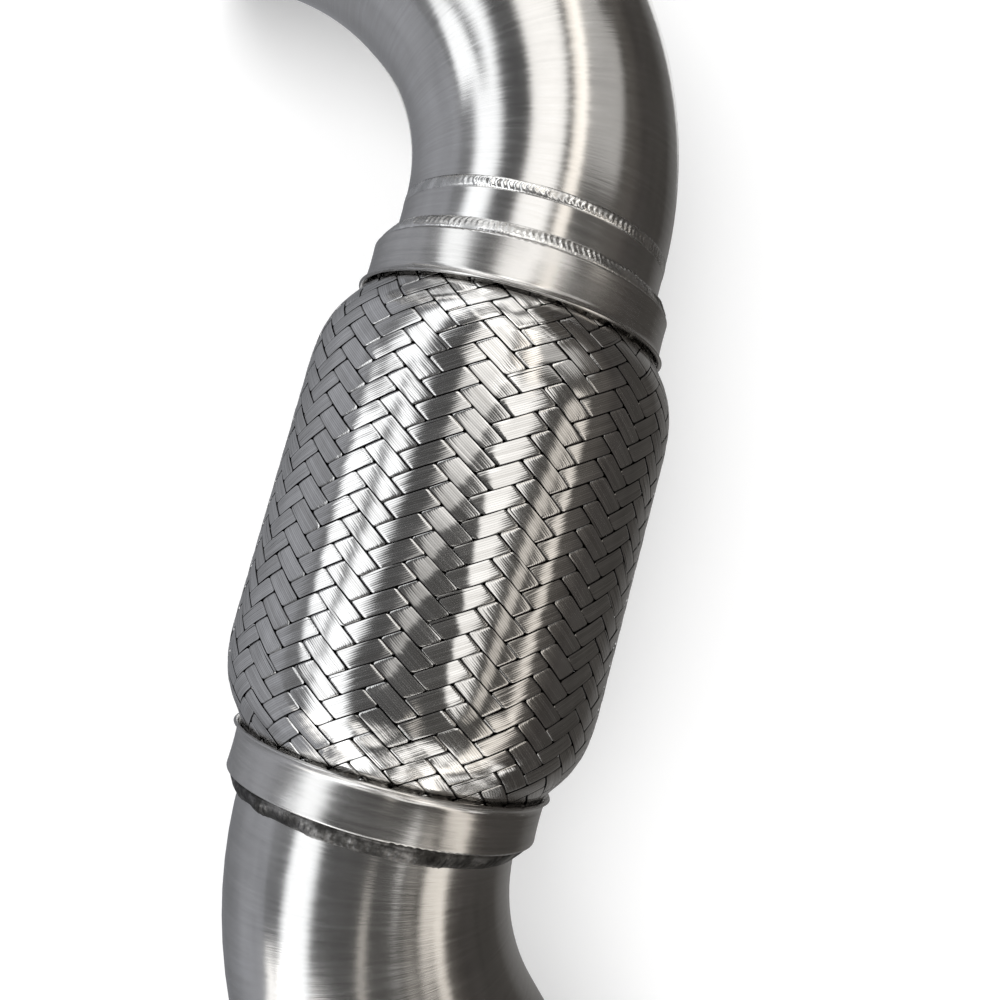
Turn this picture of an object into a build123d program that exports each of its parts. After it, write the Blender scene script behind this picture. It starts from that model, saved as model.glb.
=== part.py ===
"""Downpipe of 3 inch stainless pipe, with a braided flex section between two bends.

Millimetres. The origin is the centre of the inlet face and +X runs into the pipe. Both bends lie in
the XY plane: the upper one turns the pipe from +X to -Y, and the lower one turns it back towards +X.
The flex section's axis runs along Y. The pipe lies flat, with +Z up.
"""

import os
from math import cos, pi, radians, sin, tan

from build123d import *

# Pipe
pipe_radius = 38.1
pipe_wall = 1.6
bend_radius = 88.9
inlet_leg = 30.0
upper_bend_angle = 90.0
lower_bend_angle = 45.0
outlet_leg = 60.0
elbow_lead = 1.0
stub_visible = 14.3
lower_lead = 2.0
seat_gap = 0.1
running_gap = 0.3

# Turned end rings
flange_hub_wall = 2.4
flange_land = 5.0
flange_rim = 3.2
flange_bevel_angle = 20.0
flange_length = 13.0
flange_stop = 4.0
register_step = 0.4
register_depth = 1.0
register_clearance = 0.2
edge_break = 0.4

# Flex section, from one collar's outer end to the other's
collar_height = 12.4
collar_wall = 1.4
collar_shoulder = 0.7
collar_waist = 0.12
lip_flare = 1.35
lip_height = 2.8
lip_rounding = 0.5
braid_exposed = 121.2
sleeve_wall = 0.9
sleeve_length = 34.0
pipe_insertion = 22.0

# Bellows and liner
bellows_wall = 0.5
bellows_play = 2.8
bellows_pitch = 7.5
bellows_flat = 1.9
bellows_cuff = 10.0
liner_wall = 0.8
liner_band_height = 0.5
liner_band_width = 3.4
liner_pitch = 6.6
liner_end_gap = 1.0

# Braid
braid_bulge = 10.0
braid_wall = 1.3
braid_end_wall = 0.9
shoulder_length = 30.0
shoulder_power = 3.3
strands_each_way = 34
braid_pitch = 5.92
groove_depth = 0.7
groove_width = 1.3
chevron_phase = 11.2
gap_width = 1.5
gap_height = 2.0
gap_ring_count = 3
chevron_fade = 9.0
inner_row_count = 2
flat_limit = 1e-6

# Weld beads
butt_bead_width = 4.6
butt_bead_height = 0.8
fillet_bead_leg = 3.2
fillet_bead_bulge = 0.5

# Places that follow from the sizes above
pipe_bore = pipe_radius - pipe_wall
socket_radius = pipe_radius + seat_gap
flange_hub_radius = socket_radius + flange_hub_wall
register_radius = flange_hub_radius + register_step
flange_radius = register_radius + flange_land
flex_x = inlet_leg + bend_radius
stub_top = -bend_radius - elbow_lead
flex_top = stub_top - stub_visible
flex_length = braid_exposed + 2 * collar_height
flex_middle = flex_top - flex_length / 2
flex_bottom = flex_top - flex_length
flex_axis = Axis((flex_x, 0, 0), (0, 1, 0))
sleeve_inner = socket_radius
sleeve_outer = sleeve_inner + sleeve_wall
cuff_inner = sleeve_outer + running_gap
cuff_outer = cuff_inner + bellows_wall
braid_end_inner = cuff_outer + seat_gap
braid_end_radius = braid_end_inner + braid_end_wall
braid_radius = braid_end_radius + braid_bulge
bellows_crest_radius = braid_radius - braid_wall - bellows_play
collar_inner = braid_end_radius + running_gap
collar_radius = collar_inner + collar_wall
lip_radius = collar_radius + lip_flare
half_exposed = braid_exposed / 2
half_clamped = half_exposed + collar_height - collar_wall - running_gap

os.makedirs("parts", exist_ok=True)


def finish(builder, label):
    """Labels a finished piece and writes it."""
    builder.part.label = label
    export_step(builder.part, f"parts/{label}.step")


# Bent pipes and the short straight tube between them

with BuildPart() as upper_elbow:
    with BuildLine() as upper_route:
        leg = Line((flange_stop, 0), (inlet_leg, 0))
        bend = JernArc(leg @ 1, leg % 1, bend_radius, -upper_bend_angle)
        Line(bend @ 1, (flex_x, stub_top))
    with BuildSketch(Plane.YZ.offset(flange_stop)):
        Circle(pipe_radius)
        Circle(pipe_bore, mode=Mode.SUBTRACT)
    sweep()
finish(upper_elbow, "upper_elbow")

with BuildPart() as stub_tube:
    with BuildSketch(Plane.XZ.offset(-stub_top)):
        with Locations((flex_x, 0)):
            Circle(pipe_radius)
            Circle(pipe_bore, mode=Mode.SUBTRACT)
    extrude(amount=stub_visible + pipe_insertion)
finish(stub_tube, "stub_tube")

with BuildPart() as lower_elbow:
    with BuildLine() as lower_route:
        leg = Line((flex_x, flex_bottom + pipe_insertion), (flex_x, flex_bottom - lower_lead))
        bend = JernArc(leg @ 1, leg % 1, bend_radius, lower_bend_angle)
        outlet_run = PolarLine(bend @ 1, outlet_leg - flange_stop, direction=bend % 1)
    with BuildSketch(Plane.XZ.offset(-flex_bottom - pipe_insertion)):
        with Locations((flex_x, 0)):
            Circle(pipe_radius)
            Circle(pipe_bore, mode=Mode.SUBTRACT)
    sweep()
finish(lower_elbow, "lower_elbow")

outlet_direction = outlet_run % 1
outlet_centre = outlet_run @ 1 + outlet_direction * flange_stop

# In an end plane the local x is the depth behind the end face and the local y is the radius
inlet_plane = Plane.XY
outlet_plane = Plane(origin=outlet_centre, x_dir=-outlet_direction, z_dir=(0, 0, 1))


def end_axis(plane):
    """The pipe's axis at one end, pointing into the pipe."""
    return Axis(plane.origin, plane.x_dir)


def flange_outline(spigot):
    """Half section of an end ring: a bevelled rim, a hub and a socket that stops the pipe."""
    bevel_depth = (flange_radius - flange_hub_radius) * tan(radians(flange_bevel_angle))
    if spigot:
        step_radius = register_radius - register_clearance
        step_depth = -(register_depth - register_clearance)
    else:
        step_radius = register_radius
        step_depth = register_depth
    return [
        (step_depth, pipe_bore),
        (step_depth, step_radius),
        (0, step_radius),
        (0, flange_radius),
        (flange_rim, flange_radius),
        (flange_rim + bevel_depth, flange_hub_radius),
        (flange_length, flange_hub_radius),
        (flange_length, socket_radius),
        (flange_stop, socket_radius),
        (flange_stop, pipe_bore),
    ]


def end_ring(plane, spigot, label):
    """A turned ring on one end of the pipe, with its rim edges broken."""
    with BuildPart() as ring:
        with BuildSketch(plane):
            with BuildLine():
                Polyline(*flange_outline(spigot), close=True)
            make_face()
        revolve(axis=end_axis(plane))
        rim = ring.faces().filter_by(GeomType.CYLINDER).sort_by(lambda face: face.radius)[-1]
        chamfer(rim.edges().filter_by(GeomType.CIRCLE), edge_break)
    finish(ring, label)


end_ring(inlet_plane, True, "inlet_flange")
end_ring(outlet_plane, False, "outlet_flange")


def fillet_bead(plane, axis, start, toe_radius, label):
    """A convex fillet weld that stands on a face at start and runs down to the pipe."""
    top = (start, toe_radius)
    foot = (start + fillet_bead_leg, socket_radius)
    middle = ((top[0] + foot[0]) / 2 + fillet_bead_bulge, (top[1] + foot[1]) / 2 + fillet_bead_bulge)
    with BuildPart() as bead:
        with BuildSketch(plane):
            with BuildLine():
                Line((start, socket_radius), top)
                ThreePointArc(top, middle, foot)
                Line(foot, (start, socket_radius))
            make_face()
        revolve(axis=axis)
    finish(bead, label)


hub_toe_radius = flange_hub_radius - edge_break
fillet_bead(inlet_plane, end_axis(inlet_plane), flange_length, hub_toe_radius, "inlet_flange_weld")
fillet_bead(outlet_plane, end_axis(outlet_plane), flange_length, hub_toe_radius, "outlet_flange_weld")

# In a collar plane the local x is the way out of the flex section and the local y is the radius
upper_end_plane = Plane(origin=(flex_x, flex_top, 0), x_dir=(0, 1, 0), z_dir=(0, 0, 1))
lower_end_plane = Plane(origin=(flex_x, flex_bottom, 0), x_dir=(0, -1, 0), z_dir=(0, 0, 1))
collar_toe_radius = collar_radius - collar_shoulder
fillet_bead(upper_end_plane, flex_axis, 0, collar_toe_radius, "upper_collar_weld")
fillet_bead(lower_end_plane, flex_axis, 0, collar_toe_radius, "lower_collar_weld")

with BuildPart() as elbow_weld:
    with BuildSketch():
        with BuildLine():
            bead_root = flex_x + socket_radius
            above = (bead_root, stub_top + butt_bead_width / 2)
            below = (bead_root, stub_top - butt_bead_width / 2)
            Line(above, below)
            ThreePointArc(below, (bead_root + butt_bead_height, stub_top), above)
        make_face()
    revolve(axis=flex_axis)
finish(elbow_weld, "elbow_weld")


def collar(plane, label):
    """A pressed cap: an end turned in against the pipe, a waist and a flared lip."""
    waist_radius = collar_radius - collar_waist
    lip_inner = lip_radius - collar_wall
    lip_middle = lip_radius - collar_wall / 2
    lip_edge = -collar_height + lip_rounding
    lip_start = -collar_height + lip_height
    with BuildPart() as cap:
        with BuildSketch(plane):
            with BuildLine():
                turned_in = Line((0, socket_radius), (0, collar_toe_radius))
                shoulder = TangentArc(turned_in @ 1, (-collar_shoulder, collar_radius), tangent=(0, 1))
                middle = ((shoulder @ 1).X + lip_start) / 2
                waist = ThreePointArc(shoulder @ 1, (middle, waist_radius), (lip_start, collar_radius))
                flare = TangentArc(waist @ 1, (lip_edge, lip_radius), tangent=(-1, 0))
                edge = ThreePointArc(flare @ 1, (-collar_height, lip_middle), (lip_edge, lip_inner))
                inside = TangentArc((lip_start, collar_inner), edge @ 1, tangent=(-1, 0))
                Polyline(
                    inside @ 0,
                    (-collar_wall, collar_inner),
                    (-collar_wall, socket_radius),
                    turned_in @ 0,
                )
            make_face()
        revolve(axis=flex_axis)
    finish(cap, label)


collar(upper_end_plane, "upper_collar")
collar(lower_end_plane, "lower_collar")


def sleeve(plane, label):
    """The inner ring that backs the clamped ends and guides the liner."""
    with BuildPart() as ring:
        with BuildSketch(plane):
            with Locations((-collar_wall, sleeve_inner)):
                Rectangle(sleeve_length, sleeve_wall, align=(Align.MAX, Align.MIN))
        revolve(axis=flex_axis)
    finish(ring, label)


sleeve(upper_end_plane, "upper_sleeve")
sleeve(lower_end_plane, "lower_sleeve")

# Bellows: a thin wall that zigzags between the cuff's radius and the crests
bellows_half = half_exposed - bellows_cuff
bellows_count = int(2 * bellows_half // bellows_pitch)
bellows_flank = bellows_pitch / 2 - bellows_flat

with BuildPart() as bellows:
    with BuildSketch():
        with BuildLine():
            wave = [(flex_x + cuff_inner, flex_middle - half_clamped)]
            for turn in range(bellows_count):
                start = flex_middle + (turn - bellows_count / 2) * bellows_pitch + bellows_flat / 2
                crest = flex_x + bellows_crest_radius - bellows_wall
                root = flex_x + cuff_inner
                wave.append((root, start))
                wave.append((crest, start + bellows_flank))
                wave.append((crest, start + bellows_flank + bellows_flat))
                wave.append((root, start + 2 * bellows_flank + bellows_flat))
            wave.append((flex_x + cuff_inner, flex_middle + half_clamped))
            Polyline(*wave)
            offset(amount=bellows_wall, kind=Kind.INTERSECTION, side=Side.RIGHT)
        make_face()
    revolve(axis=flex_axis)
finish(bellows, "bellows")

# Liner: a smooth bore with a raised band at each turn of its folded strip
liner_half = flex_length / 2 - pipe_insertion - liner_end_gap
liner_bands = int((2 * liner_half - liner_band_width) // liner_pitch) + 1
liner_inner = sleeve_inner - running_gap - liner_band_height - liner_wall

with BuildPart() as liner:
    with BuildSketch():
        with Locations((flex_x + liner_inner, flex_middle)):
            Rectangle(liner_wall, 2 * liner_half, align=(Align.MIN, Align.CENTER))
        with Locations((flex_x + liner_inner + liner_wall, flex_middle)):
            with GridLocations(0, liner_pitch, 1, liner_bands):
                Rectangle(liner_band_height, liner_band_width, align=(Align.MIN, Align.CENTER))
    revolve(axis=flex_axis)
finish(liner, "liner")


# Braid: one wall whose outside is stacked herringbone rings of floating strands

column_angle = 2 * pi / strands_each_way
groove_count = int(braid_exposed // braid_pitch) + 1
groove_heights = [(groove - (groove_count - 1) / 2) * braid_pitch for groove in range(groove_count)]


def braid_profile(height):
    """The braid's outer radius at a height from the middle of the flex section."""
    reach = max(half_exposed - abs(height), 0.0)
    drop = max(1 - reach / shoulder_length, 0.0) ** shoulder_power
    return braid_radius - (braid_radius - braid_end_radius) * drop


def braid_thickness(height):
    """The wall's thickness, which thins into the collars that clamp it."""
    reach = max(half_exposed - abs(height), 0.0)
    return braid_end_wall + (braid_wall - braid_end_wall) * min(reach / braid_pitch, 1.0)


def chevron_rise(height):
    """How far a chevron's peak stands above its mean line, fading out at the collars."""
    reach = max(half_exposed - abs(height), 0.0)
    return braid_pitch / 2 * min(reach / chevron_fade, 1.0) * braid_profile(height) / braid_radius


def outer_point(column, height, sunk):
    """A point of the ridged outside, on the kink line where two columns of strands meet."""
    radius = braid_profile(height) - sunk
    rise = chevron_rise(height) * (1 - sunk / braid_radius)
    lifted = height + (rise if column % 2 == 0 else -rise)
    angle = radians(chevron_phase) + column * column_angle
    return Vector(flex_x + radius * sin(angle), flex_middle + lifted, radius * cos(angle))


def inner_point(column, height):
    """A point of the smooth inside, whose flats stay clear of the bellows' cuffs."""
    radius = (braid_profile(height) - braid_thickness(height)) / cos(column_angle / 2)
    angle = radians(chevron_phase) + column * column_angle
    return Vector(flex_x + radius * sin(angle), flex_middle + height, radius * cos(angle))


def strip_faces(lower, upper):
    """Flat faces between two closed rows of points: one for each four corners, or two if they twist."""
    faces = []
    for here in range(strands_each_way):
        after = (here + 1) % strands_each_way
        corners = [lower[here], lower[after], upper[after], upper[here]]
        normal = (corners[1] - corners[0]).cross(corners[2] - corners[0]).normalized()
        if abs(normal.dot(corners[3] - corners[0])) < flat_limit:
            outlines = [corners]
        else:
            outlines = [corners[:3], [corners[0], corners[2], corners[3]]]
        faces.extend(Face(Wire.make_polygon(outline)) for outline in outlines)
    return faces


def braid_shell():
    """The closed skin of the braid: a ridge between each two grooves, and a smooth inside."""
    columns = range(strands_each_way)
    outside = [(-half_clamped, 0.0), (-half_exposed, 0.0)]
    for height in groove_heights:
        outside.append((height - groove_width / 2, 0.0))
        outside.append((height, groove_depth))
        outside.append((height + groove_width / 2, 0.0))
    outside += [(half_exposed, 0.0), (half_clamped, 0.0)]
    inside = [-half_clamped, -half_exposed, *groove_heights[::inner_row_count], half_exposed, half_clamped]
    rows = [[outer_point(column, *row) for column in columns] for row in outside]
    rows += [[inner_point(column, height) for column in columns] for height in inside[::-1]]
    faces = []
    for lower, upper in zip(rows, rows[1:] + rows[:1]):
        faces += strip_faces(lower, upper)
    return Shell(faces)


with BuildPart() as gap_peg:
    with BuildSketch(Plane.XY.offset(braid_end_radius)):
        Polygon((gap_width / 2, 0), (0, gap_height / 2), (-gap_width / 2, 0), (0, -gap_height / 2))
    extrude(amount=braid_radius - braid_end_radius + groove_depth)

gap_places = []
for gap_row in groove_heights[1::gap_ring_count]:
    for gap_column in range(0, strands_each_way, 2):
        gap_turn = chevron_phase + gap_column * 360 / strands_each_way
        gap_height_now = flex_middle + gap_row + chevron_rise(gap_row)
        gap_places.append(Location((flex_x, gap_height_now, 0), (0, gap_turn, 0)))

with BuildPart() as braid:
    add(Solid(braid_shell()))
    with Locations(*gap_places):
        add(gap_peg.part, mode=Mode.SUBTRACT)
finish(braid, "braid")
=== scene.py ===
"""Looks for the downpipe: brushed pipes, rippled welds, and a braid woven from flat strands of wire.

Metres, in the frame of the CAD; sizes named here are in millimetres unless they say otherwise. The
flex section's axis runs along Y at x = FLEX_X, z = 0, and angles round it go from +Z towards +X.
"""

import math
import random

import bpy
import numpy as np
from mathutils import Matrix, Vector


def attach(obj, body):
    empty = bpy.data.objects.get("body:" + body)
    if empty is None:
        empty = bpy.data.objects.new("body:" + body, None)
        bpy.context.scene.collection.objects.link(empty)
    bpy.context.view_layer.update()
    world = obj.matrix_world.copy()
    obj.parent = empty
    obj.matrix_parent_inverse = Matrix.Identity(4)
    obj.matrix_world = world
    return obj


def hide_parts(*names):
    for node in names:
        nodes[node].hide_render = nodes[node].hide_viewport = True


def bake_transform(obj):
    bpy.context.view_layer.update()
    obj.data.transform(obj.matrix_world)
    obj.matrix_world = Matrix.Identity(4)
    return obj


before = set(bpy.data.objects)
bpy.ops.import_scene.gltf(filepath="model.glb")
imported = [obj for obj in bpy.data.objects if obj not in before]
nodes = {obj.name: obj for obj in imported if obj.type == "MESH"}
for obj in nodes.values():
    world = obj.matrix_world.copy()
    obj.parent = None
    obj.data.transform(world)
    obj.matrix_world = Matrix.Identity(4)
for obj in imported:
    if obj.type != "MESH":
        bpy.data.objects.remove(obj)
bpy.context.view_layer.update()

MM = 0.001

# Sizes and places, as in the CAD
FLEX_X = 118.9
FLEX_MIDDLE = -177.2
HALF_EXPOSED = 60.6
COLLAR_HEIGHT = 12.4
FLEX_TOP = FLEX_MIDDLE + HALF_EXPOSED + COLLAR_HEIGHT
FLEX_BOTTOM = FLEX_MIDDLE - HALF_EXPOSED - COLLAR_HEIGHT
STUB_TOP = -89.9
PIPE_RADIUS = 38.1
BEND_RADIUS = 88.9
UPPER_BEND = (30.0, -BEND_RADIUS, 0)
LOWER_BEND = (FLEX_X + BEND_RADIUS, FLEX_BOTTOM - 2.0, 0)
BRAID_RADIUS = 50.9
BRAID_END_RADIUS = 40.9
SHOULDER_LENGTH = 30.0
SHOULDER_POWER = 3.3
STRANDS = 34
BRAID_PITCH = 5.92
CHEVRON_PHASE = math.radians(11.2)
COLUMN_ANGLE = 2 * math.pi / STRANDS


# Objects and meshes

def new_object(name, data):
    obj = bpy.data.objects.new(name, data)
    bpy.context.scene.collection.objects.link(obj)
    return obj


def mesh_from_grid(name, points, closed_u=False, closed_v=False):
    """A quad mesh over a grid of points, shape (rows, columns, 3), in millimetres."""
    rows, columns = points.shape[:2]
    row = np.arange(rows if closed_u else rows - 1)
    column = np.arange(columns if closed_v else columns - 1)
    r, c = np.meshgrid(row, column, indexing="ij")
    r2, c2 = (r + 1) % rows, (c + 1) % columns
    quads = np.stack([r * columns + c, r2 * columns + c, r2 * columns + c2, r * columns + c2], -1)
    return mesh_from_arrays(name, points.reshape(-1, 3), quads.reshape(-1, 4))


def mesh_from_arrays(name, points, quads):
    """A smooth quad mesh from points in millimetres and the four corners of each face."""
    mesh = bpy.data.meshes.new(name)
    mesh.vertices.add(len(points))
    mesh.vertices.foreach_set("co", (np.asarray(points) * MM).astype(np.float32).ravel())
    mesh.loops.add(quads.size)
    mesh.loops.foreach_set("vertex_index", quads.astype(np.int32).ravel())
    mesh.polygons.add(len(quads))
    mesh.polygons.foreach_set("loop_start", np.arange(0, quads.size, 4, dtype=np.int32))
    mesh.polygons.foreach_set("use_smooth", np.ones(len(quads), bool))
    mesh.update(calc_edges=True)
    mesh.validate()
    return mesh


def axial_point(height, angle, radius):
    """Points round the flex axis, with the height counted from the middle of the flex section."""
    x, z = FLEX_X + radius * np.sin(angle), radius * np.cos(angle)
    return np.stack([x, FLEX_MIDDLE + height, z], -1)


def smooth_noise(generator, places, every, scale):
    """One value for each place, from random knots joined by cosine steps."""
    at = (np.asarray(places, float) - places[0]) / every
    knots = np.array([generator.uniform(-1, 1) for _ in range(int(at[-1]) + 3)])
    low = at.astype(int)
    part = (1 - np.cos((at - low) * np.pi)) / 2
    return scale * (knots[low] * (1 - part) + knots[low + 1] * part)


# Shader nodes

def new_material(name):
    mat = bpy.data.materials.new(name)
    mat.use_nodes = True
    tree = mat.node_tree
    tree.nodes.clear()
    out = tree.nodes.new("ShaderNodeOutputMaterial")
    return mat, tree, out


def add(tree, kind, inputs=None, **props):
    """A node with its properties set, and each input linked to a socket or set to a value."""
    node = tree.nodes.new(kind)
    for key, value in props.items():
        setattr(node, key, value)
    for key, value in (inputs or {}).items():
        if isinstance(value, bpy.types.NodeSocket):
            tree.links.new(value, node.inputs[key])
        else:
            node.inputs[key].default_value = value
    return node


def maths(tree, operation, a, b=0.0, c=0.0):
    return add(tree, "ShaderNodeMath", {0: a, 1: b, 2: c}, operation=operation).outputs[0]


def vectors(tree, operation, a, b=(0.0, 0.0, 0.0)):
    return add(tree, "ShaderNodeVectorMath", {0: a, 1: b}, operation=operation).outputs[0]


def scaled(tree, vector, factor):
    inputs = {0: vector, "Scale": factor}
    return add(tree, "ShaderNodeVectorMath", inputs, operation="SCALE").outputs[0]


def shared(tree, a, share, b):
    """Two values added, the first with its share and the second with the rest."""
    return maths(tree, "ADD", maths(tree, "MULTIPLY", a, share),
                 maths(tree, "MULTIPLY", b, 1 - share))


def noise(tree, vector, scale, detail=3.0, rough=0.5, output="Fac"):
    return add(tree, "ShaderNodeTexNoise", {
        "Vector": vector, "Scale": scale, "Detail": detail, "Roughness": rough,
    }).outputs[output]


def ramp(tree, fac, stops):
    node = add(tree, "ShaderNodeValToRGB", {"Fac": fac})
    elements = node.color_ramp.elements
    while len(elements) < len(stops):
        elements.new(0.5)
    for element, (place, colour) in zip(elements, stops):
        element.position = place
        element.color = (*colour, 1)
    return node.outputs["Color"]


def to_range(tree, value, low, high, from_low=0.0, from_high=1.0):
    return add(tree, "ShaderNodeMapRange", {
        "Value": value, "From Min": from_low, "From Max": from_high, "To Min": low, "To Max": high,
    }).outputs[0]


def soft_step(tree, value, edge, soft, below, above):
    """From below to above within soft of an edge, which may be a socket."""
    return add(tree, "ShaderNodeMapRange", {
        "Value": maths(tree, "SUBTRACT", value, edge),
        "From Min": -soft, "From Max": soft, "To Min": below, "To Max": above,
    }, interpolation_type="SMOOTHSTEP").outputs[0]


def soft_window(tree, value, low, high, soft):
    """1 between low and high and 0 outside them, with soft edges."""
    return maths(tree, "MULTIPLY", soft_step(tree, value, low, soft, 0.0, 1.0),
                 soft_step(tree, value, high, soft, 1.0, 0.0))


def shifted(tree, centre=(0, 0, 0), stretch=(1, 1, 1)):
    """Object coordinates about a point in millimetres, in metres, stretched."""
    coords = add(tree, "ShaderNodeTexCoord")
    return add(tree, "ShaderNodeMapping", {
        "Vector": coords.outputs["Object"],
        "Location": tuple(-c * MM * s for c, s in zip(centre, stretch)),
        "Scale": stretch,
    }).outputs[0]


def bump(tree, height, depth, **more):
    """The normal over a bump of a depth in millimetres."""
    return add(tree, "ShaderNodeBump", {
        "Height": height, "Strength": 1.0, "Distance": depth * MM, **more,
    }).outputs[0]


def metal(tree, out, tone, rough, normal, **more):
    """Ends a material as metal; more holds further inputs of the shader."""
    shader = add(tree, "ShaderNodeBsdfPrincipled", {
        "Base Color": tone, "Metallic": 1.0, "Roughness": rough, "Normal": normal, **more,
    })
    tree.links.new(shader.outputs[0], out.inputs["Surface"])


# Brushed steel. Scratches run round a piece: their noise is fine along its axis and coarse round it.

CLOUDS = 42  # cells per metre
STREAKS = (900, 35)  # cells per metre along the axis and round it
SCATTER = (1300, 60)
SCRATCHES = (2600, 90)
SCRATCH_DEPTH = 0.012


def straight_run(tree, scale_along, scale_around):
    """Coordinates for scratches round a piece of the flex section."""
    return shifted(tree, (FLEX_X, 0, 0), (scale_around, scale_along, scale_around))


def bent_run(centre):
    """The same round a bent pipe whose bend has its centre there."""
    def run(tree, scale_along, scale_around):
        x, y, z = add(tree, "ShaderNodeSeparateXYZ", {0: shifted(tree, centre)}).outputs
        angle = maths(tree, "ARCTAN2", y, x)
        square = maths(tree, "ADD", maths(tree, "MULTIPLY", x, x), maths(tree, "MULTIPLY", y, y))
        return add(tree, "ShaderNodeCombineXYZ", {
            0: maths(tree, "MULTIPLY", angle, BEND_RADIUS * MM * scale_along),
            1: maths(tree, "MULTIPLY", maths(tree, "SQRT", square), scale_around),
            2: maths(tree, "MULTIPLY", z, scale_around),
        }).outputs[0]
    return run


def steel(name, colour, tint, roughness, spread, run, jitter=0.05, mottle=0.175):
    """Brushed stainless: tone and roughness drift in clouds and streaks by mottle and spread, and
    jitter turns the normal at random along the scratches."""
    mat, tree, out = new_material(name)
    cloud = noise(tree, shifted(tree), CLOUDS, 5, 0.6)
    streak = noise(tree, run(tree, *STREAKS), 1.0, 3, 0.6)
    mixed = shared(tree, cloud, 0.6, streak)
    dark = [c * (1 - mottle) for c in colour]
    tone = ramp(tree, mixed, [(0.34, dark), (0.5, colour), (0.64, tint)])
    rough = to_range(tree, mixed, roughness - spread, roughness + spread, 0.35, 0.65)
    scatter = noise(tree, run(tree, *SCATTER), 1.0, 2, 0.6, "Color")
    push = scaled(tree, vectors(tree, "SUBTRACT", scatter, (0.5, 0.5, 0.5)), jitter)
    normal = add(tree, "ShaderNodeNewGeometry").outputs["Normal"]
    unit = vectors(tree, "NORMALIZE", vectors(tree, "ADD", normal, push))
    scratches = noise(tree, run(tree, *SCRATCHES), 1.0, 2, 0.6)
    metal(tree, out, tone, rough, bump(tree, scratches, SCRATCH_DEPTH, Normal=unit))
    return mat


# Camera, from a fit of the outlines and rings of the photograph

CAMERA_TURN = (-5.06, 6.99, -15.06)  # degrees
CAMERA_PLACE = (FLEX_X - 23.63, FLEX_MIDDLE - 10.39, 273.73)


def turn(rx, ry, rz):
    return (Matrix.Rotation(math.radians(rz), 3, "Z") @ Matrix.Rotation(math.radians(rx), 3, "X")
            @ Matrix.Rotation(math.radians(ry), 3, "Y"))


camera_data = bpy.data.cameras.new("camera")
camera_data.sensor_width = 36.0
camera_data.lens = 35.48
camera_data.clip_start = 0.01
camera = new_object("camera", camera_data)
camera.matrix_world = turn(*CAMERA_TURN).transposed().to_4x4()
camera.location = [c * MM for c in CAMERA_PLACE]
bpy.context.scene.camera = camera


# Braid: flat strands of nine fine wires, two over and two under. Lengths along a strand are in
# crossings with other strands; a float and the hidden run after it take two each.

WIRES = 9
WIRE_POINTS = 3
STRAND_LIFT = 0.18
BEND_LENGTH = 0.11  # crossings
FLOAT_BOW = 0.085
WIRE_CROWN = 0.014
STRAND_FILL = 0.93  # width of a strand as a part of its lane
PINCH = 0.24  # how much narrower it is in a bend, and over how many crossings
PINCH_LENGTH = 0.07
LIP_FILL = 1.0
LIP_FILL_REACH = 2.2
EDGE_DROOP = 0.022
EDGE_POWER = 8
WEAVE_HEIGHT = 2.0
WEAVE_TWIST = math.radians(1.7) / 38
BRAID_REACH = HALF_EXPOSED + 7.0
BRAID_SEED = 7
# Samples along a float and along the hidden run after it, in crossings from the bend
OVER_SAMPLES = (0.0, 0.04, 0.08, 0.12, 0.2, 0.5, 0.8, 1.0, 1.2, 1.5, 1.8, 1.88, 1.92, 1.96)
UNDER_SAMPLES = (0.0, 0.04, 0.08, 0.12, 0.2, 1.0, 1.8, 1.88, 1.92, 1.96)
# Chance along a strand: crossings from knot to knot, and the greatest change
WANDER = (2.7, 0.07)
ROLL = (1.4, math.radians(1.2))
SAG = (2.3, 0.03)
WIDTH_CHANGE = (3.1, 0.015)
WIRE_LEAN = (2.0, 0.008)
WIRE_RISE = (0.9, 0.016)
# Chance from one strand or wire to the next
ROLL_SPREAD = 0.7  # degrees
LEAN_SPREAD = 0.005
RISE_SPREAD = 0.006
STRAND_TONE_SHARE = 0.35
# Outer wires that stand off a strand here and there
LOOSE_TRIES = 4
LOOSE_CHANCE = 0.6
LOOSE_REACH = (0.1, 0.3)
LOOSE_LENGTH = 0.8  # crossings


def braid_radius(height):
    """Radius half way through the braid, which is fuller again at the collars' lips."""
    inwards = HALF_EXPOSED - np.abs(height)
    drop = (1 - np.clip(inwards, 0.0, SHOULDER_LENGTH) / SHOULDER_LENGTH) ** SHOULDER_POWER
    fill = LIP_FILL * np.exp(-(inwards / LIP_FILL_REACH) ** 2)
    outside = BRAID_RADIUS - (BRAID_RADIUS - BRAID_END_RADIUS) * drop + fill
    return outside - STRAND_LIFT - FLOAT_BOW - WIRE_CROWN


def over_under(crossing):
    """Height, from about -1 to 1, and nearness to a bend, from 0 to 1, for crossings counted from
    the start of a float."""
    place = np.mod(crossing, 4.0)
    edge = np.minimum(np.mod(place, 2.0), 2.0 - np.mod(place, 2.0))
    step = np.sin(np.pi / 2 * np.clip(edge / BEND_LENGTH, 0, 1))
    bow = FLOAT_BOW / STRAND_LIFT * (1 - (1 - edge) ** 2)
    return np.where(place < 2, 1.0, -1.0) * (step + bow), np.exp(-(edge / PINCH_LENGTH) ** 2)


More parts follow.
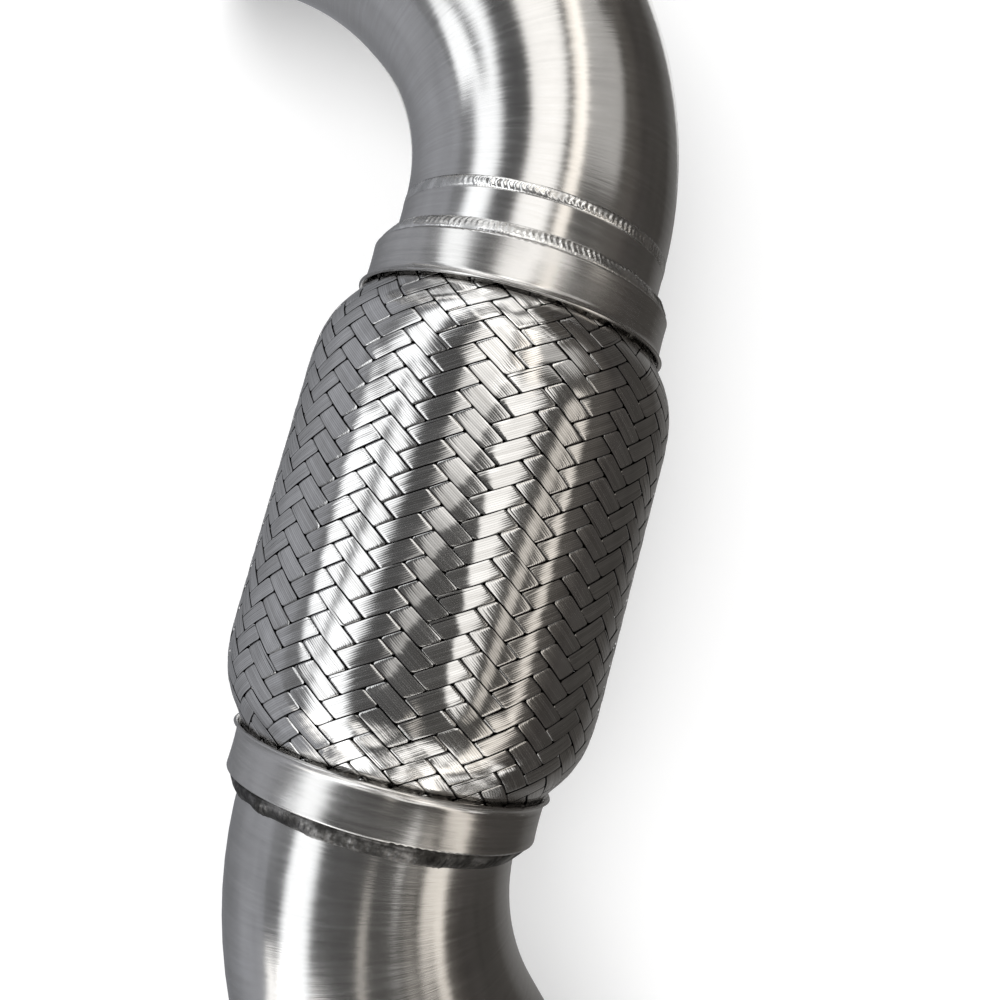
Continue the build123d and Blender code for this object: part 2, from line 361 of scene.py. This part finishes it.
def strand_samples(direction, number):
    """Samples of one strand in rising order: crossings from its first float, columns round the
    braid and heights on it."""
    turns = []
    for cycle in range(-8, 2 * STRANDS + 8):
        turns += [cycle * 4 + place for place in OVER_SAMPLES]
        turns += [cycle * 4 + 2 + place for place in UNDER_SAMPLES]
    turns = np.array(turns, float) - 4 * STRANDS
    # a float's middle lies a quarter column past a column line, and each crossing climbs half a pitch
    float_middle = 1.0
    columns = (turns - float_middle) / 2 + (0.25 if direction > 0 else 1.25)
    height = WEAVE_HEIGHT + BRAID_PITCH * direction * (number - columns)
    keep = np.abs(height) < BRAID_REACH
    turns, columns, height = turns[keep], columns[keep], height[keep]
    order = np.argsort(height)
    return turns[order], columns[order], height[order]


def loose_wires(generator, along_strand):
    """How far an outer wire stands off the strand, on its positive or its negative side."""
    loose = np.zeros(len(along_strand))
    for _ in range(LOOSE_TRIES):
        if generator.random() < LOOSE_CHANCE:
            centre = generator.uniform(0, along_strand[-1])
            bell = np.exp(-((along_strand - centre) / LOOSE_LENGTH) ** 2)
            loose += generator.choice([-1, 1]) * generator.uniform(*LOOSE_REACH) * bell
    return loose


def strand_points(direction, number, generator):
    """Points of one strand, shape (wires * points, samples, 3), with how deep it runs, its wires'
    edges and its way across. direction is +1 for strands that fall to the right."""
    turns, columns, height = strand_samples(direction, number)
    along_strand = np.abs(turns - turns[0])
    wander = smooth_noise(generator, along_strand, *WANDER)
    roll = (smooth_noise(generator, along_strand, *ROLL)
            + math.radians(generator.uniform(-ROLL_SPREAD, ROLL_SPREAD)))
    sag = smooth_noise(generator, along_strand, *SAG)
    loose = loose_wires(generator, along_strand)
    base = braid_radius(height)
    rise, bend = over_under(turns)
    lift = rise * STRAND_LIFT + sag
    column_width = COLUMN_ANGLE * base
    lane = column_width * BRAID_PITCH / np.hypot(column_width, BRAID_PITCH)
    fill = STRAND_FILL + smooth_noise(generator, along_strand, *WIDTH_CHANGE)
    width = lane * fill * (1 - PINCH * bend)
    slope = np.arctan2(BRAID_PITCH, column_width)
    # the bends follow the edges of the strands that cross, so samples are skewed across the width
    skew = np.cos(slope) / BRAID_PITCH - np.sin(slope) / column_width
    rows, edges, runs = [], [], []
    steps = WIRE_POINTS - 1
    places = np.linspace(-1, 1, WIRES * steps + 1)
    for wire in range(WIRES):
        lean = (smooth_noise(generator, along_strand, *WIRE_LEAN)
                + generator.uniform(-LEAN_SPREAD, LEAN_SPREAD))
        float_up = (smooth_noise(generator, along_strand, *WIRE_RISE)
                    + generator.uniform(-RISE_SPREAD, RISE_SPREAD))
        for point in range(WIRE_POINTS):
            place = places[wire * steps + point]
            across = place * width / 2 + wander
            if wire == WIRES - 1:
                across = across + np.clip(loose, 0, 1)
            if wire == 0:
                across = across + np.clip(loose, -1, 0)
            crown = (WIRE_CROWN if point == 1 else 0.0) + float_up + lean * (point - 1)
            # square to the strand: a step along the circumference and a step along the axis
            around = across * np.sin(slope)
            along = across * np.cos(slope) * direction
            column = columns + across * skew / 2
            level = height - direction * BRAID_PITCH / 2 * across * skew + along
            droop = EDGE_DROOP * abs(place) ** EDGE_POWER
            radius = braid_radius(level) + lift + crown + across * np.tan(roll) - droop
            angle = CHEVRON_PHASE + COLUMN_ANGLE * column + WEAVE_TWIST * level + around / base
            rows.append(axial_point(level, angle, radius))
            edges.append(np.full(len(turns), 0.0 if point == 1 else 1.0))
            runs.append(np.stack([np.sin(slope) * np.cos(angle), np.cos(slope) * direction,
                                  -np.sin(slope) * np.sin(angle)], -1))
    depth = np.repeat(np.clip(0.5 - rise / 2, 0, 1)[None], len(rows), 0)
    return np.array(rows), depth, np.array(edges), np.array(runs)


def braid_piece(name, direction, numbers):
    """Strands of one direction as a mesh, with attributes for their tone, their depth and their
    wires' edges, by which the material paints shade, and their way.
    """
    generator = random.Random(f"{name} {BRAID_SEED}")
    points, quads, tones, depths, edges, runs, start = [], [], [], [], [], [], 0
    for number in numbers:
        grid, depth, edge, run = strand_points(direction, number, generator)
        samples = grid.shape[1]
        for wire in range(WIRES):
            first = wire * WIRE_POINTS
            r, c = np.meshgrid(np.arange(first, first + WIRE_POINTS - 1), np.arange(samples - 1),
                               indexing="ij")
            here = start + r * samples + c
            face = np.stack([here, here + 1, here + 1 + samples, here + samples], -1)
            if direction < 0:
                face = face[..., ::-1]
            quads.append(face.reshape(-1, 4))
        wire_tones = np.array([generator.random() for _ in range(WIRES)])
        tone = STRAND_TONE_SHARE * generator.random() + (1 - STRAND_TONE_SHARE) * wire_tones
        tones.append(np.repeat(tone, WIRE_POINTS * samples))
        depths.append(depth.ravel())
        edges.append(edge.ravel())
        runs.append(run.reshape(-1, 3))
        points.append(grid.reshape(-1, 3))
        start += grid.shape[0] * samples
    mesh = mesh_from_arrays(name, np.concatenate(points), np.concatenate(quads))
    for label, values in (("strand_tone", tones), ("strand_depth", depths), ("wire_edge", edges)):
        shade = mesh.attributes.new(label, "FLOAT", "POINT")
        shade.data.foreach_set("value", np.concatenate(values).astype(np.float32))
    across = mesh.attributes.new("strand_across", "FLOAT_VECTOR", "POINT")
    across.data.foreach_set("vector", np.concatenate(runs).astype(np.float32).ravel())
    return new_object(name, mesh)


def braid_steel():
    mat, tree, out = new_material("braid_steel_wires")

    def attribute(label, output="Fac"):
        return add(tree, "ShaderNodeAttribute", attribute_name=label,
                   attribute_type="GEOMETRY").outputs[output]

    cloud = noise(tree, shifted(tree), 60, 3, 0.5)
    mixed = shared(tree, attribute("strand_tone"), 0.7, cloud)
    tone = ramp(tree, mixed, [
        (0.2, (0.58, 0.57, 0.555)), (0.5, (0.68, 0.672, 0.66)), (0.8, (0.78, 0.772, 0.76)),
    ])
    # painted shade: darker in the grooves between the wires, and dark where a strand runs under the
    # others
    edge = maths(tree, "POWER", attribute("wire_edge"), 2.0)
    painted_groove_shade = maths(tree, "MULTIPLY_ADD", edge, -0.2, 1.0)
    painted_under_shade = to_range(tree, attribute("strand_depth"), 1.0, 0.05, 0.06, 0.5)
    shaded = scaled(tree, tone, maths(tree, "MULTIPLY", painted_groove_shade, painted_under_shade))
    fine = noise(tree, shifted(tree), 900, 2, 0.5)
    # wires spread what they reflect across the strand and keep it sharp along it
    metal(tree, out, shaded, to_range(tree, mixed, 0.09, 0.14), bump(tree, fine, 0.0015),
          Anisotropic=0.8, Tangent=attribute("strand_across", "Vector"))
    return mat


wire_steel = braid_steel()
half = STRANDS // 2
for piece_name, direction, numbers in (
    ("braid_falling_1", 1, range(half)),
    ("braid_falling_2", 1, range(half, STRANDS)),
    ("braid_rising_1", -1, range(half)),
    ("braid_rising_2", -1, range(half, STRANDS)),
):
    piece = braid_piece(piece_name, direction, numbers)
    piece.data.materials.append(wire_steel)
    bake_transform(piece)
    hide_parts("braid")


# Bellows and liner: tubes of revolution about the flex axis

TUBE_SEGMENTS = 72
BELLOWS_ROOT = 39.65
BELLOWS_CREST = 46.5
BELLOWS_WALL = 0.5
BELLOWS_PITCH = 7.5
BELLOWS_SQUARENESS = 1.9
BELLOWS_END = HALF_EXPOSED + 6
BELLOWS_STEPS = 240
WAVES_END = HALF_EXPOSED - 11.0
WAVES_FADE = 2.5
LINER_END = 50.0
LINER_STEPS = 225
LINER_RADIUS = 37.4
LINER_INNER_RADIUS = 36.65
LINER_BAND_PITCH = 6.6
LINER_BAND_HEIGHT = 0.45
LINER_BAND_HALF = 0.28  # half of a band's foot and its slope, in pitches
LINER_BAND_SLOPE = 0.07


def lathe(name, outline):
    """Turns (height, radius) pairs about the flex axis."""
    outline = np.array(outline, float)
    angle = np.linspace(0, 2 * np.pi, TUBE_SEGMENTS, endpoint=False)
    height, turn_angle = np.meshgrid(outline[:, 0], angle, indexing="ij")
    radius = np.repeat(outline[:, 1:2], TUBE_SEGMENTS, 1)
    points = axial_point(height, turn_angle, radius)
    return new_object(name, mesh_from_grid(name, points, closed_u=True, closed_v=True))


def bellows_radius(height):
    """Round waves with steep sides, which fade into plain cuffs at both ends."""
    inwards = WAVES_END - abs(height)
    if inwards <= 0:
        return BELLOWS_ROOT
    wave = math.cos(2 * math.pi * height / BELLOWS_PITCH)
    swing = math.tanh(BELLOWS_SQUARENESS * wave) / math.tanh(BELLOWS_SQUARENESS)
    rise = (BELLOWS_CREST - BELLOWS_ROOT) * (0.5 + 0.5 * swing)
    return BELLOWS_ROOT + rise * min(1.0, inwards / WAVES_FADE)


def liner_radius(height):
    """A plain hose with raised bands."""
    from_middle = abs((height / LINER_BAND_PITCH) % 1.0 - 0.5)
    band = max(0.0, min(1.0, (LINER_BAND_HALF - from_middle) / LINER_BAND_SLOPE))
    return LINER_RADIUS + LINER_BAND_HEIGHT * band


def stations(end, steps):
    return [-end + step * 2 * end / steps for step in range(steps + 1)]


outer = [(h, bellows_radius(h)) for h in stations(BELLOWS_END, BELLOWS_STEPS)]
bellows = lathe("bellows_tube", outer + [(h, r - BELLOWS_WALL) for h, r in reversed(outer)])
outer = [(h, liner_radius(h)) for h in stations(LINER_END, LINER_STEPS)]
inner = [(LINER_END, LINER_INNER_RADIUS), (-LINER_END, LINER_INNER_RADIUS)]
liner = lathe("liner_hose", outer + inner)

# dull steel, made darker still as painted shade for what shows through the gaps in the braid
dull_steel_painted_shade = steel("bellows_steel_dull_painted_shade", (0.36, 0.35, 0.34), (0.42, 0.41, 0.4), 0.36, 0.05,
                   straight_run)
for piece, node, slot in (
    (bellows, "bellows", "bellows_steel"),
    (liner, "liner", "liner_steel"),
):
    piece.data.materials.append(dull_steel_painted_shade)
    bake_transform(piece)
    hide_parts(node)


# Welds: beads with ripples

BEAD_FOOT = PIPE_RADIUS + 0.05
BEAD_TOP = 41.9
BEAD_STEPS = 10
BEAD_ROUNDNESS = 0.7
BEAD_ROOT = 0.3
SHOWN_FADE = 18  # degrees
DRESSED_SIZE = 0.1
RIPPLE = 0.3
RIPPLE_SEGMENTS = 6
RIPPLE_CURVE = 1.3  # how far a ripple's middle lags behind its ends, in ripples
RIPPLE_SHARPNESS = 1.4
RIPPLE_MEAN = 0.45
RIPPLE_CHANGE = 0.5
RIPPLE_LEVEL_CHANGE = 0.08
# Chance round a bead: segments from knot to knot, and the greatest change of its two edges
TOP_WANDER = (15, 0.35)
FOOT_WANDER = (11, 0.4)
SIZE_KNOTS = 23
NOISE_JOIN = 24  # segments over which chance comes back to its start


def ring_weld(name, body, node, centre, x_dir, top, foot, bulge, ripples, seed, uneven, material,
              shown=None):
    """A bead round an axis: (depth, radius) top and foot, in a plane whose x is x_dir, with ripples
    round it. shown is the stretch, in degrees, where the bead stands proud; elsewhere it is dressed
    flat."""
    generator = random.Random(seed)
    segments = ripples * RIPPLE_SEGMENTS
    angle = np.linspace(0, 2 * np.pi, segments, endpoint=False)

    def ring_noise(every, scale):
        values = smooth_noise(generator, np.arange(segments), every, scale)
        join = np.linspace(1, 0, NOISE_JOIN)
        values[-NOISE_JOIN:] = values[-NOISE_JOIN:] * join + values[0] * (1 - join)
        return values

    size = 1 + ring_noise(SIZE_KNOTS, uneven)
    if shown is not None:
        bearing = np.degrees(np.arctan2(np.sin(angle), np.cos(angle)))
        window = (np.clip((bearing - shown[0]) / SHOWN_FADE, 0, 1)
                  * np.clip((shown[1] - bearing) / SHOWN_FADE, 0, 1))
        size = size * (DRESSED_SIZE + (1 - DRESSED_SIZE) * window)
    top_wander, foot_wander = ring_noise(*TOP_WANDER), ring_noise(*FOOT_WANDER)
    jitter = np.array([generator.uniform(-1, 1) for _ in range(ripples)])
    run = np.array([foot[0] - top[0], foot[1] - top[1]], float)
    length = np.linalg.norm(run)
    normal = np.array([-run[1], run[0]]) / length
    if normal[1] < 0:
        normal = -normal
    rows = []
    for share in np.arange(BEAD_STEPS) / (BEAD_STEPS - 1):
        arch = math.sin(math.pi * share)
        phase = ripples * angle / (2 * np.pi) + RIPPLE_CURVE * arch
        chance = jitter[np.floor(phase).astype(int) % ripples]
        part = phase - np.floor(phase)
        wave = (1 - part) ** RIPPLE_SHARPNESS - RIPPLE_MEAN
        push = arch ** BEAD_ROUNDNESS * size * (
            bulge + RIPPLE * wave * (1 + RIPPLE_CHANGE * chance) + RIPPLE_LEVEL_CHANGE * chance)
        slide = top_wander * (1 - share) * arch + foot_wander * share * arch
        rows.append(np.stack([
            top[i] + run[i] * share + normal[i] * push + slide * run[i] / length for i in (0, 1)
        ], -1))
    rows.append(np.full((segments, 2), [top[0], min(top[1], foot[1]) - BEAD_ROOT]))
    rows = np.array(rows)
    along = np.array([*x_dir, 0.0])
    sideways = np.array([abs(x_dir[1]), abs(x_dir[0]), 0.0])
    outwards = (np.sin(angle)[None, :, None] * sideways
                + np.cos(angle)[None, :, None] * np.array([0.0, 0.0, 1.0]))
    points = np.array([*centre, 0.0]) + rows[..., :1] * along + rows[..., 1:] * outwards
    obj = new_object(name, mesh_from_grid(name, points, closed_u=True, closed_v=True))
    obj.data.materials.append(material)
    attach(obj, body)
    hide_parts(node)


def weld_material(name, tones, roughness):
    mat, tree, out = new_material(name)
    cloud = noise(tree, shifted(tree), 150, 4, 0.65)
    tone = ramp(tree, cloud, list(zip((0.34, 0.5, 0.64), tones)))
    rough = to_range(tree, cloud, roughness + 0.1, roughness - 0.06, 0.35, 0.65)
    grain = noise(tree, shifted(tree), 900, 3, 0.6)
    metal(tree, out, tone, rough, bump(tree, grain, 0.05))
    return mat


bright_weld = weld_material("weld_steel_bright", (
    (0.46, 0.46, 0.455), (0.68, 0.675, 0.665), (0.86, 0.855, 0.84),
), 0.22)
dark_weld = weld_material("weld_steel_dark", (
    (0.02, 0.019, 0.018), (0.07, 0.068, 0.065), (0.24, 0.235, 0.23),
), 0.4)
ring_weld("upper_collar_bead", "inlet_side", "upper_collar_weld", (FLEX_X, FLEX_TOP), (0, 1),
          (0.0, BEAD_TOP), (4.7, BEAD_FOOT), 0.75, 168, 11, 0.3, bright_weld)
ring_weld("lower_collar_bead", "outlet_side", "lower_collar_weld", (FLEX_X, FLEX_BOTTOM), (0, -1),
          (0.0, BEAD_TOP), (4.5, BEAD_FOOT), 1.2, 160, 12, 0.5, dark_weld, (-80, 56))
ring_weld("elbow_bead", "inlet_side", "elbow_weld", (FLEX_X, STUB_TOP), (0, 1),
          (-1.6, BEAD_FOOT), (1.6, BEAD_FOOT), 0.55, 150, 13, 0.5, bright_weld, (-52, 62))


# Steel of the pipes, collars and end rings, on the CAD's own solids

def pipe_steel(name, run):
    return steel(name, (0.63, 0.622, 0.61), (0.68, 0.675, 0.67), 0.16, 0.04, run, 0.03, 0.11)


upper_bend_steel = pipe_steel("pipe_steel_upper_bend", bent_run(UPPER_BEND))
lower_bend_steel = pipe_steel("pipe_steel_lower_bend", bent_run(LOWER_BEND))
stub_steel = pipe_steel("pipe_steel_straight", straight_run)
collar_steel = steel("collar_steel_pressed", (0.62, 0.61, 0.595), (0.66, 0.65, 0.64), 0.21, 0.05,
                     straight_run)
turned_steel = steel("turned_steel_ring", (0.66, 0.655, 0.645), (0.7, 0.695, 0.69), 0.19, 0.04,
                     straight_run, 0.02)
sleeve_steel = steel("sleeve_steel_plain", (0.55, 0.545, 0.54), (0.6, 0.595, 0.59), 0.3, 0.05,
                     straight_run)

for node_name, material in (
    ("upper_elbow", upper_bend_steel), ("lower_elbow", lower_bend_steel), ("stub_tube", stub_steel),
    ("upper_collar", collar_steel), ("lower_collar", collar_steel),
    ("upper_sleeve", sleeve_steel), ("lower_sleeve", sleeve_steel),
    ("inlet_flange", turned_steel), ("outlet_flange", turned_steel),
    ("inlet_flange_weld", bright_weld), ("outlet_flange_weld", bright_weld),
):
    mesh = nodes[node_name].data
    if not mesh.materials:
        mesh.materials.append(material)
    for index in range(len(mesh.materials)):
        mesh.materials[index] = material


# Stage: a pale floor and world, and two soft lamps that light the object

FLOOR_Z = -51.1
FLOOR_HALF = 6.0  # metres
STUDIO = (FLEX_X, FLEX_MIDDLE, 0)


def seen_rays(tree):
    """1 for camera, glossy and transmission rays and 0 for those that only carry light."""
    path = add(tree, "ShaderNodeLightPath")
    mirrored = maths(tree, "MAXIMUM", path.outputs["Is Glossy Ray"],
                     path.outputs["Is Transmission Ray"])
    return maths(tree, "MAXIMUM", path.outputs["Is Camera Ray"], mirrored)


floor_mesh = bpy.data.meshes.new("floor")
floor_mesh.from_pydata([(x * FLOOR_HALF, y * FLOOR_HALF, FLOOR_Z * MM)
                        for x, y in ((-1, -1), (1, -1), (1, 1), (-1, 1))], [], [(0, 1, 2, 3)])
floor = new_object("floor", floor_mesh)
mat, tree, out = new_material("floor_white")
diffuse = add(tree, "ShaderNodeBsdfDiffuse", {"Color": (0.82, 0.82, 0.82, 1)})
glow = add(tree, "ShaderNodeEmission", {
    "Color": (1, 1, 1, 1), "Strength": maths(tree, "MULTIPLY", seen_rays(tree), 0.3),
})
both = add(tree, "ShaderNodeAddShader", {0: diffuse.outputs[0], 1: glow.outputs[0]})
tree.links.new(both.outputs[0], out.inputs["Surface"])
floor.data.materials.append(mat)

world = bpy.data.worlds.new("studio")
world.use_nodes = True
tree = world.node_tree
tree.nodes.clear()
out = tree.nodes.new("ShaderNodeOutputWorld")
background = add(tree, "ShaderNodeBackground", {
    "Color": (1, 1, 1, 1), "Strength": to_range(tree, seen_rays(tree), 0.45, 1.0),
})
tree.links.new(background.outputs[0], out.inputs["Surface"])
bpy.context.scene.world = world


def lamp(name, place, side, power):
    """A square lamp, with its side in metres, that shines on the object and isn't reflected."""
    data = bpy.data.lights.new(name, "AREA")
    data.shape = "RECTANGLE"
    data.size = data.size_y = side
    data.energy = power
    obj = new_object(name, data)
    obj.location = [c * MM for c in place]
    way = Vector([to - start for to, start in zip(STUDIO, place)])
    obj.rotation_euler = way.to_track_quat("-Z", "Y").to_euler()
    obj.visible_glossy = False


lamp("key", (-500, -200, 900), 0.9, 9)
lamp("fill", (900, -500, 700), 0.8, 4)


# What the metal reflects: a dark tent with lamps and panes, and cards beside the object. Only
# reflections see them.

TENT_RADIUS = 0.9  # metres
TENT_WOBBLE = 8.0  # degrees by which the lamps' edges waver
APRON_Z = -50.8
APRON_GAP = 1.5
LIP_RADIUS = 44.0  # of a collar, with its flare


def glow_in_reflections(obj, mat, tree, out, colour):
    """Ends a card's material with a glow, and hides the card from all but reflections."""
    emission = add(tree, "ShaderNodeEmission", {"Color": colour, "Strength": 1.0})
    tree.links.new(emission.outputs[0], out.inputs["Surface"])
    mat.cycles.emission_sampling = "NONE"
    obj.data.materials.append(mat)
    obj.visible_camera = False
    obj.visible_diffuse = False
    obj.visible_shadow = False
    obj.visible_volume_scatter = False


def clouded(tree, colour, coords, depth, least):
    """A colour under clouds, like cloth that isn't lit evenly."""
    cloth = maths(tree, "MULTIPLY_ADD", noise(tree, coords, 9.0, 4, 0.65), depth, least)
    return scaled(tree, colour, cloth)


def tent():
    """A sphere of dark cloth round the object, with the lamps that the photo's reflections show."""
    bpy.ops.mesh.primitive_uv_sphere_add(segments=64, ring_count=32, radius=TENT_RADIUS,
                                         location=[c * MM for c in STUDIO])
    obj = bpy.context.object
    obj.name = "reflection_tent"
    mat, tree, out = new_material("tent_cloth")
    coords = add(tree, "ShaderNodeTexCoord").outputs["Object"]
    across, along, upward = add(tree, "ShaderNodeSeparateXYZ", {0: coords}).outputs
    angle = maths(tree, "MULTIPLY", maths(tree, "ARCTAN2", across, upward), 180 / math.pi)
    lengthwise = maths(tree, "DIVIDE", along, TENT_RADIUS)
    chance = maths(tree, "SUBTRACT", noise(tree, coords, 3.0, 4, 0.6), 0.5)
    bent = maths(tree, "ADD", angle, maths(tree, "MULTIPLY", chance, TENT_WOBBLE))
    base = ramp(tree, to_range(tree, bent, 0, 1, -180, 180), [
        (0.0, (0.26, 0.262, 0.27)), (0.14, (0.28, 0.285, 0.3)), (0.22, (0.36, 0.36, 0.37)),
        (0.27, (0.26, 0.265, 0.28)), (0.39, (0.12, 0.12, 0.122)), (0.57, (0.11, 0.106, 0.1)),
        (0.67, (0.12, 0.11, 0.1)), (0.71, (0.07, 0.064, 0.06)), (0.77, (0.1, 0.093, 0.088)),
        (0.84, (0.2, 0.192, 0.185)), (1.0, (0.26, 0.26, 0.26)),
    ])
    total = clouded(tree, base, coords, 0.7, 0.65)

    def line(at_zero, per_radius):
        """An angle that changes along Y, in degrees for each radius of the tent."""
        return maths(tree, "MULTIPLY_ADD", lengthwise, per_radius, at_zero)

    def rise(low, high, low_place, high_place):
        """A strength that changes between two places along Y."""
        return to_range(tree, lengthwise, low, high, low_place, high_place)

    def lamp_strip(low, high, soft, reach, strength, colour, end_soft=0.025):
        """A lamp between two angles, and between two places along Y in parts of the radius."""
        nonlocal total
        lit = maths(tree, "MULTIPLY", soft_window(tree, bent, low, high, soft),
                    soft_window(tree, lengthwise, *reach, end_soft))
        shine = scaled(tree, colour, maths(tree, "MULTIPLY", lit, strength))
        total = vectors(tree, "ADD", total, shine)

    cool, plain, warm = (0.96, 0.98, 1.0), (1.0, 0.985, 0.96), (1.0, 0.94, 0.86)
    # main lamp on the left, in three lengths
    left_strength = rise(1.15, 1.6, -0.2, 0.0)
    lamp_strip(line(-76, -22), -62.0, 2, (-0.3, 0.21), left_strength, cool, 0.035)
    lamp_strip(line(-57, 14), line(-42.5, -6), 4, (-1.2, 0.23), 1.6, cool, 0.05)
    lamp_strip(-70.0, -49.0, 4, (0.22, 0.95), 1.55, cool, 0.05)
    # window, in a left and a right pane, and three bright parts over the upper bend
    lamp_strip(-22.0, line(-11.5, 50), 1.5, (-0.3, 0.34), rise(0.5, 1.05, 0.03, 0.2), plain)
    lamp_strip(line(8, -40), 24.5, 1.5, (-0.32, 0.34), 1.3, plain)
    lamp_strip(-26.0, 0.0, 3, (0.34, 0.9), 1.45, plain)
    lamp_strip(6.0, 17.0, 2.5, (0.34, 0.85), 1.5, warm)
    lamp_strip(12.0, 50.0, 5, (0.5, 0.78), 0.5, plain)
    # weak panes on the right, and two warm lamps for the lower bend
    lamp_strip(line(33, 20), line(40.5, 20), 1.5, (-0.3, 0.3), 0.65, warm)
    lamp_strip(line(48.5, -16), line(55.5, -16), 2, (-0.26, 0.3), 0.95, warm)
    lamp_strip(43.0, 61.0, 3, (-1.2, -0.24), 1.05, warm)
    lamp_strip(-2.0, 3.0, 1.5, (-0.62, -0.38), 0.6, warm)
    # broken light at the two ends of the tent, for the braid's shoulders
    patches = to_range(tree, noise(tree, coords, 7.0, 3, 0.6), 0.0, 1.5, 0.47, 0.56)
    for low, high, end in ((-130.0, 38.0, (0.78, 1.3)), (-200.0, 200.0, (-1.3, -0.66))):
        lamp_strip(low, high, 3, end, patches, plain)
    glow_in_reflections(obj, mat, tree, out, total)


tent()


def bend_stations(centre, side, bearings):
    """Stations along a bend, on the side of its centre that is +1 for +X."""
    return [(centre[0] + side * BEND_RADIUS * math.cos(bearing),
             centre[1] + side * BEND_RADIUS * math.sin(bearing),
             -math.cos(bearing), -math.sin(bearing), PIPE_RADIUS) for bearing in np.radians(bearings)]


def outline_path():
    """Stations of the object's centreline: x and y, the way to its left, and its half width."""
    path = bend_stations(UPPER_BEND, 1, np.linspace(80, 0, 17))
    for y, half_width in (
        (FLEX_TOP + 1, PIPE_RADIUS), (FLEX_TOP - COLLAR_HEIGHT - 2, LIP_RADIUS),
        (FLEX_MIDDLE + 45, BRAID_RADIUS), (FLEX_MIDDLE, BRAID_RADIUS),
        (FLEX_MIDDLE - 45, BRAID_RADIUS),
        (FLEX_BOTTOM + COLLAR_HEIGHT + 2, LIP_RADIUS), (FLEX_BOTTOM - 1, PIPE_RADIUS),
    ):
        path.append((FLEX_X, y, -1.0, 0.0, half_width))
    path += bend_stations(LOWER_BEND, -1, np.linspace(0, 45, 10))
    end_x, end_y = path[-1][:2]
    slant = math.sqrt(0.5)
    for run in (12, 40, 90, 160):
        path.append((end_x + slant * run, end_y - slant * run, -slant, -slant, PIPE_RADIUS))
    return path


def apron(name, side, outer, tone):
    """A narrow card on the floor along one side of the object, out to a distance from its
    centreline."""
    rows = []
    for x, y, left_x, left_y, half_width in outline_path():
        rows.append([(x - side * left_x * reach, y - side * left_y * reach, APRON_Z)
                     for reach in (half_width + APRON_GAP, outer)])
    obj = new_object(name, mesh_from_grid(name, np.array(rows)))
    mat, tree, out = new_material(name + "_cloth")
    glow_in_reflections(obj, mat, tree, out, (*tone, 1))


apron("apron_left", -1, 130.0, (0.22, 0.225, 0.24))
apron("apron_right", 1, 74.0, (0.19, 0.185, 0.18))

# Section of the cards beside the object, as distances from the flex axis and heights
CARD_SECTION = [(66, -50.7), (84, -48.5), (115, -42), (170, -30), (260, -12), (420, 24), (640, 70)]
CARD_HALF_LENGTH = 560


def side_card(name, side, near, far):
    """A bowed card beside the object, from its near to its far tone outwards, that keeps the floor
    out of the object's sides."""
    runs = np.linspace(-CARD_HALF_LENGTH, CARD_HALF_LENGTH, 3)
    points = np.array([[(FLEX_X + side * x, FLEX_MIDDLE + y, z) for y in runs]
                       for x, z in CARD_SECTION])
    obj = new_object(name, mesh_from_grid(name, points))
    mat, tree, out = new_material(name + "_cloth")
    coords = add(tree, "ShaderNodeTexCoord").outputs["Object"]
    x = add(tree, "ShaderNodeSeparateXYZ", {0: coords}).outputs[0]
    reach = maths(tree, "ABSOLUTE", maths(tree, "SUBTRACT", x, FLEX_X * MM))
    tone = ramp(tree, to_range(tree, reach, 0, 1, 0.066, 0.4), [
        (0.0, near), (0.25, far), (1.0, far),
    ])
    glow_in_reflections(obj, mat, tree, out, clouded(tree, tone, coords, 0.9, 0.55))


side_card("card_left", -1, (0.24, 0.245, 0.26), (0.4, 0.41, 0.44))
side_card("card_right", 1, (0.24, 0.235, 0.23), (0.075, 0.07, 0.065))

bpy.context.scene.view_settings.view_transform = "Standard"
